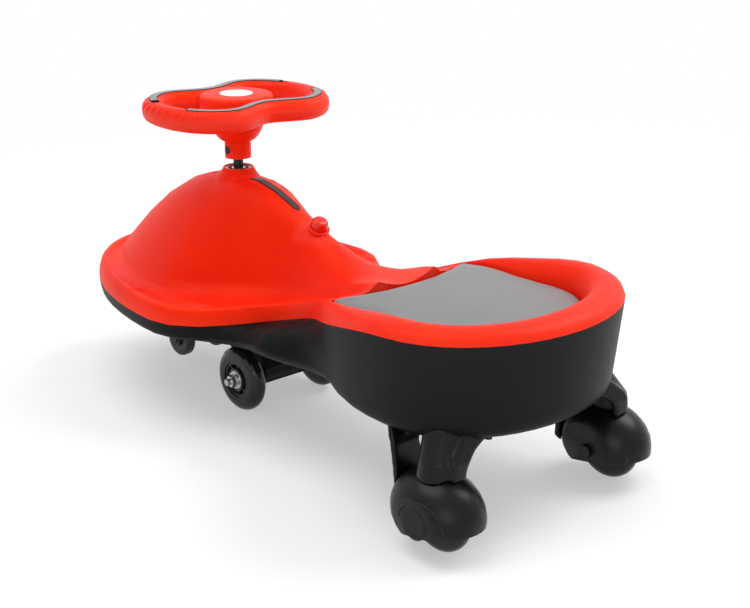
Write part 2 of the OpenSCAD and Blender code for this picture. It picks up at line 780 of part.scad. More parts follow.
// Running wheel, with its axis along Z and its middle at the origin
module tyre() {
    rise = wheel_d / 2 - tyre_shoulder_d / 2;
    color("#2a2320") rotate_extrude($fn = 64) polygon(concat(
        [[core_d / 2, -wheel_w / 2]],
        [for (a = [-90:15:90])
            [tyre_shoulder_d / 2 + rise * cos(a), wheel_w / 2 * sign(a) * pow(abs(sin(a)), tyre_power)]],
        [[core_d / 2, wheel_w / 2]]
    ));
}
module core() {
    color("#c63318") difference() {
        union() {
            translate([0, 0, -core_rim_w / 2]) tube(core_d, core_d - 2 * core_wall, core_rim_w);
            translate([0, 0, -wheel_w / 2]) cylinder(d = bearing_d + 2 * core_wall, h = wheel_w);
            for (k = [0:core_spokes - 1]) {
                rotate(360 * k / core_spokes) translate([0, -core_wall / 2, -core_spoke_w / 2])
                    cube([core_d / 2 - core_wall / 2, core_wall, core_spoke_w]);
            }
        }
        for (z = [-wheel_w / 2 - over, wheel_w / 2 - bearing_w]) {
            translate([0, 0, z]) cylinder(d = bearing_d, h = bearing_w + over);
        }
        translate([0, 0, -wheel_w]) cylinder(d = bearing_d - 2 * core_wall, h = 2 * wheel_w);
    }
}
// Sealed bearing: its seals lie a little below the faces of its rings
module wheel_bearing() {
    difference() {
        tube(bearing_d - 2 * press_gap, axle_d + 2 * run_fit, bearing_w);
        for (z = [-over, bearing_w - seal_t]) {
            translate([0, 0, z]) tube(bearing_d - 2 * bearing_ring, axle_d + 2 * bearing_ring, seal_t + over);
        }
    }
}
module bearings() {
    color("#c4c7cb") {
        translate([0, 0, -wheel_w / 2]) wheel_bearing();
        translate([0, 0, wheel_w / 2 - bearing_w]) wheel_bearing();
    }
}
module sleeve() {
    color("#a9acb0") translate([0, 0, -wheel_w / 2 + bearing_w + seat_gap])
        tube(spacer_d, axle_d + 2 * press_gap, wheel_w - 2 * bearing_w - 2 * seat_gap);
}
module front_sleeves() {
    for (side = [-1, 1]) {
        front_place(side) along_y() sleeve();
    }
}
module rear_sleeves() {
    for (side = [-1, 1]) {
        rear_place(side) along_y() sleeve();
    }
}

// Rear wheel housing, with the wheel's axis along Z and its outer cheek up: an egg with flat cheeks
module hood_form(g) {
    l = hood_l / 2 + g;
    r = hood_d / 2 + g;
    intersection() {
        translate([hood_lead, hood_lift, 0]) rotate(hood_pitch) ring_solid(
            [for (k = [1:egg_steps - 1])
                let (a = 180 * k / egg_steps)
                [for (q = [0:egg_sides - 1])
                    let (b = 360 * q / egg_sides)
                    [-l * cos(a), r * sin(a) * cos(b), -r * sin(a) * sin(b)]]],
            [[-l, 0, 0], [l, 0, 0]]
        );
        translate([0, 0, -cheek_in - g]) cylinder(d = 2 * hood_l, h = cheek_in + cheek_out + 2 * g);
    }
}
// Puts a housing's own axes into the car: its axis along Y with its outer cheek outwards
module at_hood(side) {
    rear_place(side) mirrored(-side) along_y() children();
}
module fender(side) {
    color("#1a1a1b") at_hood(side) difference() {
        union() {
            difference() {
                hood_form(0);
                hood_form(-hood_wall);
            }
            for (end = [[0, cheek_out], [1, cheek_in]]) {
                mirror([0, 0, end[0]]) translate([0, 0, wheel_w / 2 + hood_play])
                    cylinder(d = hood_boss_d, h = end[1] - wheel_w / 2 - hood_play - hood_wall / 2);
            }
        }
        rotate([0, 0, -hood_tilt]) translate([-hood_d, -hood_d - hood_drop, -hood_d])
            cube([2 * hood_d, hood_d, 2 * hood_d]);
        translate([0, 0, -hood_d]) cylinder(d = axle_d + 2 * press_gap, h = 2 * hood_d);
        translate([0, 0, cheek_out - nut_t - washer_t])
            cylinder(d = nut_d + 2 * seat_gap, h = nut_t + washer_t + over);
    }
}
// Low disc on the outer cheek, over the nut
module fender_cap(side) {
    color("#1f1f21") at_hood(side) translate([0, 0, cheek_out])
        cylinder(d1 = cap_d, d2 = cap_d - 2 * cap_t, h = cap_t);
}

// Leg under the tub: a front wall, a rear web, a leaning post and a base, all seated on the housing
module leg_wall(x, lean, shares) {
    translate([x, 0, floor_z]) rotate([0, lean, 0]) translate([-leg_t / 2, 0, -floor_z]) rotate([90, 0, 90])
        linear_extrude(leg_t) polygon([
            for (p = shares) [rear_track / 2 + p[0] * leg_reach, axle_z + p[1] * (floor_z - axle_z)]
        ]);
}
module leg_post(d, h) {
    translate([leg_post_x, rear_track / 2 + leg_post_out, axle_z + leg_reach]) rotate([leg_lean, 0, 0])
        cylinder(d = d, h = h, center = true);
}
module leg_left() {
    color("#1a1a1b") difference() {
        union() {
            leg_wall(leg_front_x, leg_front_lean, leg_front_shares);
            leg_wall(leg_rear_x, 0, leg_rear_shares);
            leg_post(leg_post_d, hood_d);
            translate([0, 0, floor_z - leg_base_t]) linear_extrude(leg_base_t) intersection() {
                translate([leg_rear_x - leg_t / 2, leg_base_y])
                    square([leg_front_x - leg_rear_x + leg_t, rear_half_w]);
                polygon([for (i = [0:steps]) inset_pt(i, tub_pt(station_x(i), 0, 0)[0])]);
            }
        }
        at_hood(1) hood_form(press_gap);
        tub_block(0);
        leg_screw_places() cylinder(d = screw_d, h = 2 * leg_base_t, center = true);
    }
}
module mirrored(side) {
    mirror([0, side < 0 ? 1 : 0, 0]) children();
}
module leg_screw_places() {
    for (s = leg_screw_shares) {
        x = leg_rear_x + s[0] * (leg_front_x - leg_rear_x);
        y = leg_base_y + s[1] * (rear_half_w - leg_base_y);
        translate([x, y, floor_z - leg_base_t]) children();
    }
}

module leg_screws() {
    color("#8a8d90") {
        for (side = [-1, 1]) {
            mirrored(side) leg_screw_places()
                screw(screw_core_d, screw_head_d, screw_head_h, leg_base_t + leg_screw_l);
        }
    }
}

// Axle bolt with its head on the inner cheek, and the nut in the outer cheek
module rear_axle(side) {
    color("#c9ccd0") at_hood(side) {
        translate([0, 0, -cheek_in]) cylinder(d = axle_d, h = cheek_in + cheek_out - seat_gap);
        translate([0, 0, -cheek_in - nut_t]) cylinder(d = nut_d, h = nut_t, $fn = 6);
    }
}
module rear_axle_nut(side) {
    color("#c9ccd0") at_hood(side) translate([0, 0, cheek_out - seat_gap - nut_t])
        hex_nut(axle_d + 2 * press_gap);
}

// Safety wheels under the nose, which touch the ground only when the car tips forward
module safety_place(side) {
    translate([column_x + safety_lead, side * safety_track / 2, safety_lift + safety_d / 2]) children();
}
module safety_bracket(side) {
    drop = floor_z - safety_lift - safety_d / 2;
    gap = safety_w + 2 * safety_play;
    color("#1a1a1b") safety_place(side) difference() {
        union() {
            translate([-safety_d / 2, -gap / 2 - 2 * bracket_t, drop - bracket_t])
                cube([safety_d, gap + 4 * bracket_t, bracket_t]);
            for (y = [-gap / 2, gap / 2 + bracket_t]) {
                translate([0, y, 0]) along_y() linear_extrude(bracket_t) {
                    circle(d = bracket_end_d);
                    polygon([
                        [-bracket_end_d / 2, 0], [bracket_end_d / 2, 0],
                        [safety_d / 2, drop - bracket_t / 2], [-safety_d / 2, drop - bracket_t / 2]
                    ]);
                }
            }
        }
        translate([0, gap, 0]) along_y() cylinder(d = pin_d + 2 * press_gap, h = 2 * gap);
    }
}
module safety_pin(side) {
    l = safety_w + 2 * safety_play + 2 * bracket_t;
    color("#b4b7bb") safety_place(side) {
        translate([0, l / 2, 0]) along_y() cylinder(d = pin_d, h = l);
        for (y = [-l / 2, l / 2 + pin_head_t]) {
            translate([0, y, 0]) along_y() cylinder(d = pin_head_d, h = pin_head_t);
        }
    }
}
module safety_wheel(side) {
    edge = safety_w / 2 - safety_edge_r;
    color("#222224") safety_place(side) along_y() rotate_extrude($fn = 64) polygon(concat(
        [[pin_d / 2 + run_fit, -safety_w / 2]],
        [for (end = [-1, 1], a = end < 0 ? [-90:30:0] : [0:30:90])
            [safety_d / 2 - safety_edge_r * (1 - cos(a)), end * edge + safety_edge_r * sin(a)]],
        [[pin_d / 2 + run_fit, safety_w / 2]]
    ));
}

// Rim of the steering wheel: its middle, and a point beside it in its cross section
function rim_depth(y) = swell(rim_waist, rim_lobe, abs(y) / (rim_half_l * rim_lobe_share));
function rim_mid(a) =
    let (y = rim_half_l * cos(a)) [rim_depth(y) * sin(a) * sqrt(1 + cos(a) * cos(a)), y];
function rim_out(a) =
    let (t = rim_mid(a + rim_probe_angle) - rim_mid(a - rim_probe_angle)) [-t[1], t[0]] / norm(t);
function rim_pt(a, out, z) = let (p = rim_mid(a) - out * rim_out(a)) [column_x + p[0], p[1], z];

// A closed ring or an open length of one cross section, as points out from the rim's middle and heights
module rim_sweep(angles, sections, closed) {
    n = len(sections[0]);
    m = len(angles);
    sides = [
        for (i = [0:m - (closed ? 1 : 2)], k = [0:n - 1])
            let (a = i * n + k, b = i * n + (k + 1) % n)
            let (c = (i + 1) % m * n + k, d = (i + 1) % m * n + (k + 1) % n)
            each [[a, b, c], [b, d, c]]
    ];
    ends = closed ? [] : [
        for (k = [1:n - 2]) each [[0, k + 1, k], [(m - 1) * n, (m - 1) * n + k, (m - 1) * n + k + 1]]
    ];
    polyhedron(
        points = [for (i = [0:m - 1], p = sections[i]) rim_pt(angles[i], p[0], p[1])],
        faces = concat(sides, ends),
        convexity = 4
    );
}
rim_angles = [for (k = [0:rim_steps - 1]) 360 * k / rim_steps];

// Half of the rim's cross section, over its top or round its underside
function rim_arc(from, to, way) = [
    for (a = [from:rim_step_angle:to])
        let (c = cos(a), s = abs(sin(a)))
        [rim_tube_w / 2 * sign(c) * pow(abs(c), rim_round), rim_z + way * rim_tube_h / 2 * pow(s, rim_round)]
];

// Places along the rim that have a grip strip
function under_strip(a) = let (b = (a + 90) % 180 - 90) abs(b) >= strip_start;

// Upper half of the rim's cross section, with a channel for the grip strip
function rim_top_section(a) =
    let (w = strip_w / 2 + seat_gap, top = rim_z + rim_tube_h / 2)
    let (floor = top - strip_t * channel_share * (under_strip(a) ? 1 : strip_gap_depth_share))
    concat(
        rim_arc(0, 90 - rim_step_angle, 1),
        [[w, top], [w, floor], [-w, floor], [-w, top]],
        rim_arc(90 + rim_step_angle, 180, 1)
    );

module rim_top() {
    top = rim_z + hub_rise;
    color("#e23a18") difference() {
        union() {
            rim_sweep(rim_angles, [for (a = rim_angles) rim_top_section(a)], true);
            at_column(0) rotate_extrude() polygon(concat(
                [[0, rim_z], [hub_d / 2, rim_z]],
                [for (a = [0:30:90])
                    [hub_d / 2 - hub_edge_r * (1 - cos(a)), top - hub_edge_r * (1 - sin(a))]],
                [[0, top]]
            ));
        }
        at_column(top - badge_sink) cylinder(d = badge_d + 2 * press_gap, h = badge_sink + over);
        rim_screw_places(rim_z)
            cylinder(d = rim_screw_d, h = 2 * (rim_screw_l - rim_tube_h / 2 + rim_screw_sink), center = true);
    }
}

// Lower half of the rim and hub, with the bowl and the collar
module rim_base() {
    color("#dd3716") difference() {
        union() {
            rim_sweep(rim_angles, [for (a = rim_angles) rim_arc(180, 360, -1)], true);
            at_column(0) rotate_extrude() polygon(concat(
                [[0, rim_z], [0, collar_z], [collar_d / 2, collar_z]],
                [for (k = [0:bowl_steps])
                    let (t = k / bowl_steps)
                    let (r = collar_d / 2 + (bowl_d - collar_d) / 2 * t)
                    [r, collar_top_z + (bowl_z - collar_top_z) * pow(t, bowl_power)]],
                [[hub_d / 2 - hub_edge_r, bowl_z], [hub_d / 2, bowl_z + hub_edge_r], [hub_d / 2, rim_z]]
            ));
        }
        at_column(collar_z - over) cylinder(d = shaft_d + 2 * press_gap, h = shaft_top_z - collar_z + over);
        at_column(collar_bolt_z) along_y() {
            cylinder(d = collar_bolt_d + 2 * press_gap, h = 2 * collar_d, center = true);
            for (z = [-collar_d, collar_d / 2 - collar_head_h - over]) {
                translate([0, 0, z])
                    cylinder(d = collar_head_d + 2 * seat_gap, h = collar_d / 2 + collar_head_h + over);
            }
        }
        rim_screw_places(0) cylinder(d = rim_screw_d, h = rim_z + over);
        rim_screw_places(0)
            cylinder(d = rim_screw_head_d + 2 * seat_gap, h = rim_z - rim_tube_h / 2 + rim_screw_sink);
    }
}
module rim_screw_places(z) {
    for (a = rim_screw_angles) {
        translate(rim_pt(a, 0, z)) children();
    }
}
module rim_screws() {
    color("#8a8d90") rim_screw_places(rim_z - rim_tube_h / 2 + rim_screw_sink)
        screw(rim_screw_d - 2 * press_gap, rim_screw_head_d, rim_screw_head_h, rim_screw_l);
}

// Two strips let into the top of the rim, one in front of the hub and one behind it
module grip_strips() {
    w = strip_w / 2;
    low = rim_z + rim_tube_h / 2 - strip_t * channel_share;
    high = low + strip_t;
    section = [
        [w, low], [w, high], [w / 2, high + seat_gap], [-w / 2, high + seat_gap], [-w, high], [-w, low]
    ];
    color("#9fa2a6") {
        for (start = [0, 180]) {
            angles = [for (a = rim_angles) if (a > start && a < start + 180 && under_strip(a)) a];
            rim_sweep(angles, [for (a = angles) section], false);
        }
    }
}

module hub_badge() {
    color("#f2f2f0") at_column(rim_z + hub_rise - badge_sink) cylinder(d = badge_d, h = badge_t);
}

module collar_bolt() {
    l = collar_d - 2 * collar_head_h - 2 * over;
    color("#8f9296") at_column(collar_bolt_z) translate([0, l / 2, 0]) {
        along_y() cylinder(d = collar_bolt_d, h = l + collar_head_h);
        translate([0, collar_head_h, 0]) along_y() cylinder(d = collar_head_d, h = collar_head_h);
    }
}
module collar_nut() {
    y = collar_d / 2 - collar_head_h - over;
    color("#8f9296") at_column(collar_bolt_z) translate([0, -y, 0]) along_y() difference() {
        cylinder(d = collar_head_d, h = collar_head_h, $fn = 6);
        translate([0, 0, -over]) cylinder(d = collar_bolt_d + 2 * press_gap, h = collar_head_h + 2 * over);
    }
}

module push_button() {
    color("#c81f12") at_button() {
        rotate_extrude() polygon(concat(
            [[0, -button_foot], [button_d / 2, -button_foot]],
            [for (a = [0:30:90])
                [button_d / 2 - button_round * (1 - cos(a)), button_h - button_round * (1 - sin(a))]],
            [[0, button_h]]
        ));
        translate([0, 0, -button_depth]) cylinder(d = button_stem_d, h = button_depth - button_foot + over);
    }
}
module button_guide() {
    color("#b31c10") at_button() {
        difference() {
            union() {
                translate([0, 0, -button_depth + button_travel])
                    cylinder(d = guide_d - 2 * press_gap, h = button_depth - button_travel + guide_flange_t);
                cylinder(d = guide_flange_d, h = guide_flange_t);
            }
            translate([0, 0, -button_depth + button_travel + guide_floor_t])
                cylinder(d = button_d + 2 * seat_gap, h = 2 * button_depth);
            translate([0, 0, -2 * button_depth])
                cylinder(d = button_stem_d + 2 * seat_gap, h = 2 * button_depth);
        }
    }
}
// Coil round the stem, drawn as far as it is pressed together at full travel
module button_spring() {
    low = -button_depth + button_travel + guide_floor_t + spring_wire / 2;
    high = -button_foot - button_travel - spring_wire / 2 - seat_gap;
    r = (spring_d - spring_wire) / 2;
    n = spring_turns * spring_steps * 2;
    m = spring_sides;
    color("#a8abaf") at_button() polyhedron(
        points = [
            for (i = [0:n], k = [0:m - 1])
                let (a = 360 * spring_turns * i / n, b = 360 * k / m, s = r + spring_wire / 2 * cos(b))
                [s * cos(a), s * sin(a), low + (high - low) * i / n + spring_wire / 2 * sin(b)]
        ],
        faces = concat(
            [for (i = [0:n - 1], k = [0:m - 1])
                let (a = i * m + k, b = i * m + (k + 1) % m) each [[a, b, a + m], [b, b + m, a + m]]],
            [for (k = [1:m - 2]) each [[0, k + 1, k], [n * m, n * m + k, n * m + k + 1]]]
        )
    );
}

// The origin lies on the ground below the middle of the car
translate([-middle_x, 0, 0]) {
    lower_shell();
    upper_shell();
    seat_pad();
    ridge_strip();
    shell_screws();
    column_bearing_outer();
    column_bearing_inner();
    column_bearing_balls();
    column_bearing_seals();
    column_bush();
    thrust_washer();
    steering_shaft();
    axle_carrier();
    front_axle();
    front_axle_nuts();
    front_axle_spacers();
    front_sleeves();
    rim_top();
    rim_base();
    grip_strips();
    hub_badge();
    collar_bolt();
    collar_nut();
    rim_screws();
    front_place(1) along_y() tyre();  // front_tyre_left
    front_place(1) along_y() core();  // front_core_left
    front_place(1) along_y() bearings();  // front_bearings_left
    front_place(-1) along_y() tyre();  // front_tyre_right
    front_place(-1) along_y() core();  // front_core_right
    front_place(-1) along_y() bearings();  // front_bearings_right
    leg_left();  // rear_leg_left
    fender(1);  // rear_fender_left
    fender_cap(1);  // fender_cap_left
    rear_axle(1);  // rear_axle_left
    rear_axle_nut(1);  // rear_nut_left
    rear_place(1) along_y() tyre();  // rear_tyre_left
    rear_place(1) along_y() core();  // rear_core_left
    rear_place(1) along_y() bearings();  // rear_bearings_left
    mirrored(-1) leg_left();  // rear_leg_right
    fender(-1);  // rear_fender_right
    fender_cap(-1);  // fender_cap_right
    rear_axle(-1);  // rear_axle_right
    rear_axle_nut(-1);  // rear_nut_right
    rear_place(-1) along_y() tyre();  // rear_tyre_right
    rear_place(-1) along_y() core();  // rear_core_right
    rear_place(-1) along_y() bearings();  // rear_bearings_right
    rear_sleeves();
    leg_screws();
    safety_bracket(1);  // safety_bracket_left
    safety_pin(1);  // safety_pin_left
    safety_wheel(1);  // safety_wheel_left
    safety_bracket(-1);  // safety_bracket_right
    safety_pin(-1);  // safety_pin_right
    safety_wheel(-1);  // safety_wheel_right
    push_button();
    button_spring();
    button_guide();
}
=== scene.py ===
import math

import bmesh
import bpy
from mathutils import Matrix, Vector
from mathutils.bvhtree import BVHTree


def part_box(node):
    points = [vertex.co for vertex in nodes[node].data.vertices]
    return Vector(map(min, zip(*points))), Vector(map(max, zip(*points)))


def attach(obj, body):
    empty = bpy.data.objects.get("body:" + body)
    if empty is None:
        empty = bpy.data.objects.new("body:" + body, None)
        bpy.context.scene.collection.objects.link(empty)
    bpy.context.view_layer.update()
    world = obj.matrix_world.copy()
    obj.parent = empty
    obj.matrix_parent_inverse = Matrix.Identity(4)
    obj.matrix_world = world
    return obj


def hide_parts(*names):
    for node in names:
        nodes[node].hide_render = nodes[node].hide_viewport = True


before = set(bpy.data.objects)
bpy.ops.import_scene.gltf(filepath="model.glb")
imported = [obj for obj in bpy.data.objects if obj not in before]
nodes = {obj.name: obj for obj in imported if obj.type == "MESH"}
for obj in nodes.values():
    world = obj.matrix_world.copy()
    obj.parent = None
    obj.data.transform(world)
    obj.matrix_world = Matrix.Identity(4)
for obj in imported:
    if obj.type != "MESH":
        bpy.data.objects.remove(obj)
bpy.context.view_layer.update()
scene = bpy.context.scene
print("frame loaded with", len(nodes), "nodes")

view = {
    "azimuth": 228.29,  # degrees round the car, 0 looks along +Y
    "elevation": 19.5,
    "distance": 1.6883,
    "target": (-0.0856, 0.0, 0.1575),
    "lens": 71.55,
    "shiftY": 0.01016,
    "clipStart": 0.05,
}


def makeCamera():
    data = bpy.data.cameras.new("photoCamera")
    data.lens = view["lens"]
    data.shift_y = view["shiftY"]
    data.clip_start = view["clipStart"]
    camera = bpy.data.objects.new("photoCamera", data)
    scene.collection.objects.link(camera)
    turn = math.radians(view["azimuth"])
    rise = math.radians(view["elevation"])
    back = Vector((math.sin(turn) * math.cos(rise), -math.cos(turn) * math.cos(rise), math.sin(rise)))
    camera.location = Vector(view["target"]) + back * view["distance"]
    camera.rotation_euler = (-back).to_track_quat("-Z", "Y").to_euler()
    scene.camera = camera


makeCamera()
print("camera set")


# One output of a node: sums and products of these add Math nodes
class Wire:
    def __init__(self, graph, socket):
        self.graph = graph
        self.socket = socket

    def maths(self, operation, first, second):
        return self.graph.node("ShaderNodeMath", {"operation": operation}, {0: first, 1: second})

    def __add__(self, other):
        return self.maths("ADD", self, other)

    def __radd__(self, other):
        return self.maths("ADD", other, self)

    def __sub__(self, other):
        return self.maths("SUBTRACT", self, other)

    def __rsub__(self, other):
        return self.maths("SUBTRACT", other, self)

    def __mul__(self, other):
        return self.maths("MULTIPLY", self, other)

    def __rmul__(self, other):
        return self.maths("MULTIPLY", other, self)

    def over(self, limit):
        return self.maths("GREATER_THAN", self, limit)


# A node tree, with short ways to the nodes that the finishes and the world share
class Graph:
    def __init__(self, tree):
        self.tree = tree
        self.place = self.node("ShaderNodeTexCoord", {}, {}, "Object")

    def plug(self, socket, value):
        if isinstance(value, Wire):
            self.tree.links.new(value.socket, socket)
        else:
            socket.default_value = value

    def node(self, kind, settings, sockets, out=0):
        made = self.tree.nodes.new(kind)
        for key, value in settings.items():
            setattr(made, key, value)
        for key, value in sockets.items():
            self.plug(made.inputs[key], value)
        return Wire(self, made.outputs[out])

    def noise(self, scale, detail=2.0, stretch=None):
        place = self.place
        if stretch:
            place = self.node("ShaderNodeMapping", {}, {"Vector": self.place, "Scale": stretch})
        return self.node("ShaderNodeTexNoise", {}, {"Vector": place, "Scale": scale, "Detail": detail})

    def blend(self, share, first, second):
        return self.node("ShaderNodeMix", {"data_type": "RGBA"}, {0: share, 6: first, 7: second}, 2)

    def ramp(self, value, low, high):
        return self.node(
            "ShaderNodeMapRange", {"interpolation_type": "SMOOTHSTEP"},
            {"Value": value, "From Min": low, "From Max": high},
        )

    def edges(self, low, high):
        point = self.node("ShaderNodeNewGeometry", {}, {}, "Pointiness")
        return self.ramp(point, low, high)


# A material and its shader: what is the same all over goes straight on the shader's sockets
class Finish(Graph):
    def __init__(self, name, **constants):
        self.material = bpy.data.materials.new(name)
        self.material.use_nodes = True
        super().__init__(self.material.node_tree)
        self.shader = self.tree.nodes["Principled BSDF"]
        for socket, value in constants.items():
            self.plug(self.shader.inputs[socket.replace("_", " ")], value)

    def look(self, colour, roughness, height=None, depth=0.0, strength=0.0):
        self.plug(self.shader.inputs["Base Color"], colour)
        self.plug(self.shader.inputs["Roughness"], roughness)
        if height is not None:
            normal = self.node(
                "ShaderNodeBump", {}, {"Height": height, "Distance": depth, "Strength": strength}
            )
            self.plug(self.shader.inputs["Normal"], normal)
        return self.material


def rgb(red, green, blue):
    return (red, green, blue, 1.0)


white = rgb(1.0, 1.0, 1.0)
warm = rgb(1.0, 0.5, 0.18)


plastic = {
    "cloud": (7.0, 3.0),  # scale and detail of a pattern
    "cloudRamp": (0.3, 0.7),
    "sparkDetail": 2.0,
    "smear": (60.0, 4.0, (1.0, 1.0, 7.0)),  # with its stretch
    "streak": (55.0, 6.0, (0.5, 2.6, 1.2)),
    "streakRamp": (0.63, 0.72),
    "patch": (14.0, 2.0),
    "patchRamp": (0.5, 0.66),
    "edge": (0.53, 0.62),
    "edgeShare": 0.6,
    "scuffShare": 0.5,
    "smearRough": 0.12,
    "sparkRough": 0.08,
    "coatRough": 0.2,
    "depth": 0.00025,
    "strength": 0.25,
}


# Moulded plastic: a soft cloud in the colour, a fine spark grain, rubbed edges and thin scuffs
def mouldedPlastic(name, deep, bright, rough, grain, shine=0.2, coat=0.0, rub=0.0, scuffs=0.0, tint=white):
    finish = Finish(
        name, Specular_IOR_Level=shine, Specular_Tint=tint, Coat_Weight=coat,
        Coat_Roughness=plastic["coatRough"],
    )
    cloud = finish.ramp(finish.noise(*plastic["cloud"]), *plastic["cloudRamp"])
    spark = finish.noise(grain, plastic["sparkDetail"])
    smear = finish.noise(*plastic["smear"])
    colour = finish.blend(cloud, deep, bright)
    if rub:
        worn = rgb(*[min(1.0, c + rub) for c in bright[:3]])
        colour = finish.blend(finish.edges(*plastic["edge"]) * plastic["edgeShare"], colour, worn)
    if scuffs:
        streak = finish.ramp(finish.noise(*plastic["streak"]), *plastic["streakRamp"])
        patch = finish.ramp(finish.noise(*plastic["patch"]), *plastic["patchRamp"])
        pale = rgb(*[c + scuffs for c in bright[:3]])
        colour = finish.blend(streak * patch * plastic["scuffShare"], colour, pale)
    roughness = rough + plastic["smearRough"] * (smear - 0.5) + plastic["sparkRough"] * (spark - 0.5)
    return finish.look(colour, roughness, spark, plastic["depth"], plastic["strength"])


vinyl = {
    "cloud": (5.0, 2.0),
    "cloudRamp": (0.3, 0.7),
    "deep": rgb(0.165, 0.168, 0.172),
    "bright": rgb(0.2, 0.203, 0.207),
    "cells": 700.0,
    "groove": 0.25,  # share of each cell
    "grooveColour": rgb(0.14, 0.143, 0.147),
    "rough": 0.46,
    "smear": (90.0, 3.0),
    "smearRough": 0.1,
    "depth": 0.0002,
    "strength": 0.2,
}


# Grained vinyl of the seat pad
def padVinyl():
    finish = Finish("padVinyl", Sheen_Weight=0.15, Sheen_Roughness=0.4)
    cloud = finish.ramp(finish.noise(*vinyl["cloud"]), *vinyl["cloudRamp"])
    cells = finish.node(
        "ShaderNodeTexVoronoi", {"feature": "DISTANCE_TO_EDGE"},
        {"Vector": finish.place, "Scale": vinyl["cells"]},
    )
    grain = finish.ramp(cells, 0.0, vinyl["groove"])
    colour = finish.blend(cloud, vinyl["deep"], vinyl["bright"])
    shade = finish.blend(grain, vinyl["grooveColour"], colour)
    roughness = vinyl["rough"] + vinyl["smearRough"] * (finish.noise(*vinyl["smear"]) - 0.5)
    return finish.look(shade, roughness, grain, vinyl["depth"], vinyl["strength"])


steel = {
    "brush": (300.0, 3.0, (1.0, 1.0, 12.0)),
    "brushRough": 0.14,
    "stain": (40.0, 3.0),
    "stainRamp": (0.35, 0.75),
    "depth": 0.0001,
    "strength": 0.15,
}


# Steel with a fine brush, stained in places
def brushedSteel(name, deep, bright, rough):
    finish = Finish(name, Metallic=1.0)
    brush = finish.noise(*steel["brush"])
    stain = finish.ramp(finish.noise(*steel["stain"]), *steel["stainRamp"])
    colour = finish.blend(stain, bright, deep)
    roughness = rough + steel["brushRough"] * (brush - 0.5)
    return finish.look(colour, roughness, brush, steel["depth"], steel["strength"])


tyre = {
    "swirl": (45.0, 3.0),
    "deep": rgb(0.006, 0.006, 0.0065),
    "bright": rgb(0.014, 0.014, 0.015),
    "smear": (25.0, 4.0),
    "smearRamp": (0.45, 0.8),
    "rough": 0.07,
    "smearRough": 0.22,
    "depth": 0.0002,
    "strength": 0.1,
}


# Dark clear plastic of the tyres, dull in smears
def smokedTyre():
    finish = Finish("smokedTyre", IOR=1.5, Specular_IOR_Level=0.3, Transmission_Weight=0.05)
    swirl = finish.noise(*tyre["swirl"])
    smear = finish.ramp(finish.noise(*tyre["smear"]), *tyre["smearRamp"])
    colour = finish.blend(swirl, tyre["deep"], tyre["bright"])
    roughness = tyre["rough"] + tyre["smearRough"] * smear
    return finish.look(colour, roughness, swirl, tyre["depth"], tyre["strength"])


enamel = {
    "cloud": (60.0, 3.0),
    "deep": rgb(0.74, 0.74, 0.73),
    "bright": rgb(0.82, 0.82, 0.81),
    "rough": 0.28,
    "cloudRough": 0.08,
    "grain": 400.0,
    "depth": 0.0001,
    "strength": 0.1,
}


# White enamel of the bare badge on the hub
def enamelBadge():
    finish = Finish("enamelBadge", Coat_Weight=0.5, Coat_Roughness=0.08)
    cloud = finish.noise(*enamel["cloud"])
    colour = finish.blend(cloud, enamel["deep"], enamel["bright"])
    roughness = enamel["rough"] + enamel["cloudRough"] * (cloud - 0.5)
    return finish.look(colour, roughness, finish.noise(enamel["grain"]), enamel["depth"], enamel["strength"])


finishes = {
    "red": mouldedPlastic(
        "redPlastic", rgb(0.78, 0.011, 0.0016), rgb(0.85, 0.02, 0.0026),
        rough=0.46, grain=1400.0, shine=0.22, rub=0.03, tint=warm,
    ),
    "black": mouldedPlastic(
        "blackPlastic", rgb(0.0035, 0.0035, 0.0036), rgb(0.0055, 0.0055, 0.0057),
        rough=0.46, grain=1100.0, shine=0.075, rub=0.015,
    ),
    "legBlack": mouldedPlastic(
        "legPlastic", rgb(0.0028, 0.0028, 0.0029), rgb(0.0042, 0.0042, 0.0044),
        rough=0.31, grain=900.0, shine=0.2, rub=0.025, scuffs=0.03,
    ),
    "gripGrey": mouldedPlastic(
        "gripFilm", rgb(0.17, 0.17, 0.175), rgb(0.21, 0.21, 0.215), rough=0.34, grain=1500.0, shine=0.3
    ),
    "trimEdge": mouldedPlastic(
        "trimEdge", rgb(0.014, 0.014, 0.015), rgb(0.02, 0.02, 0.021), rough=0.45, grain=1500.0
    ),
    "strip": mouldedPlastic(
        "ridgeFilm", rgb(0.03, 0.03, 0.032), rgb(0.05, 0.05, 0.053), rough=0.36, grain=1300.0, shine=0.3
    ),
    "button": mouldedPlastic(
        "buttonPlastic", rgb(0.7, 0.008, 0.002), rgb(0.78, 0.012, 0.003),
        rough=0.24, grain=1600.0, shine=0.3, coat=0.15,
    ),
    "core": mouldedPlastic(
        "corePlastic", rgb(0.012, 0.012, 0.0125), rgb(0.02, 0.02, 0.021), rough=0.36, grain=900.0, shine=0.35
    ),
    "nylon": mouldedPlastic(
        "nylonBush", rgb(0.62, 0.6, 0.55), rgb(0.7, 0.68, 0.63), rough=0.42, grain=900.0
    ),
    "seal": mouldedPlastic(
        "rubberSeal", rgb(0.012, 0.012, 0.013), rgb(0.02, 0.02, 0.021), rough=0.62, grain=1200.0
    ),
    "steel": brushedSteel("zincSteel", rgb(0.42, 0.43, 0.44), rgb(0.66, 0.67, 0.68), 0.3),
    "darkSteel": brushedSteel("blackSteel", rgb(0.02, 0.02, 0.022), rgb(0.04, 0.04, 0.043), 0.36),
    "pad": padVinyl(),
    "tyre": smokedTyre(),
    "badge": enamelBadge(),
}
print("finishes made:", len(finishes))


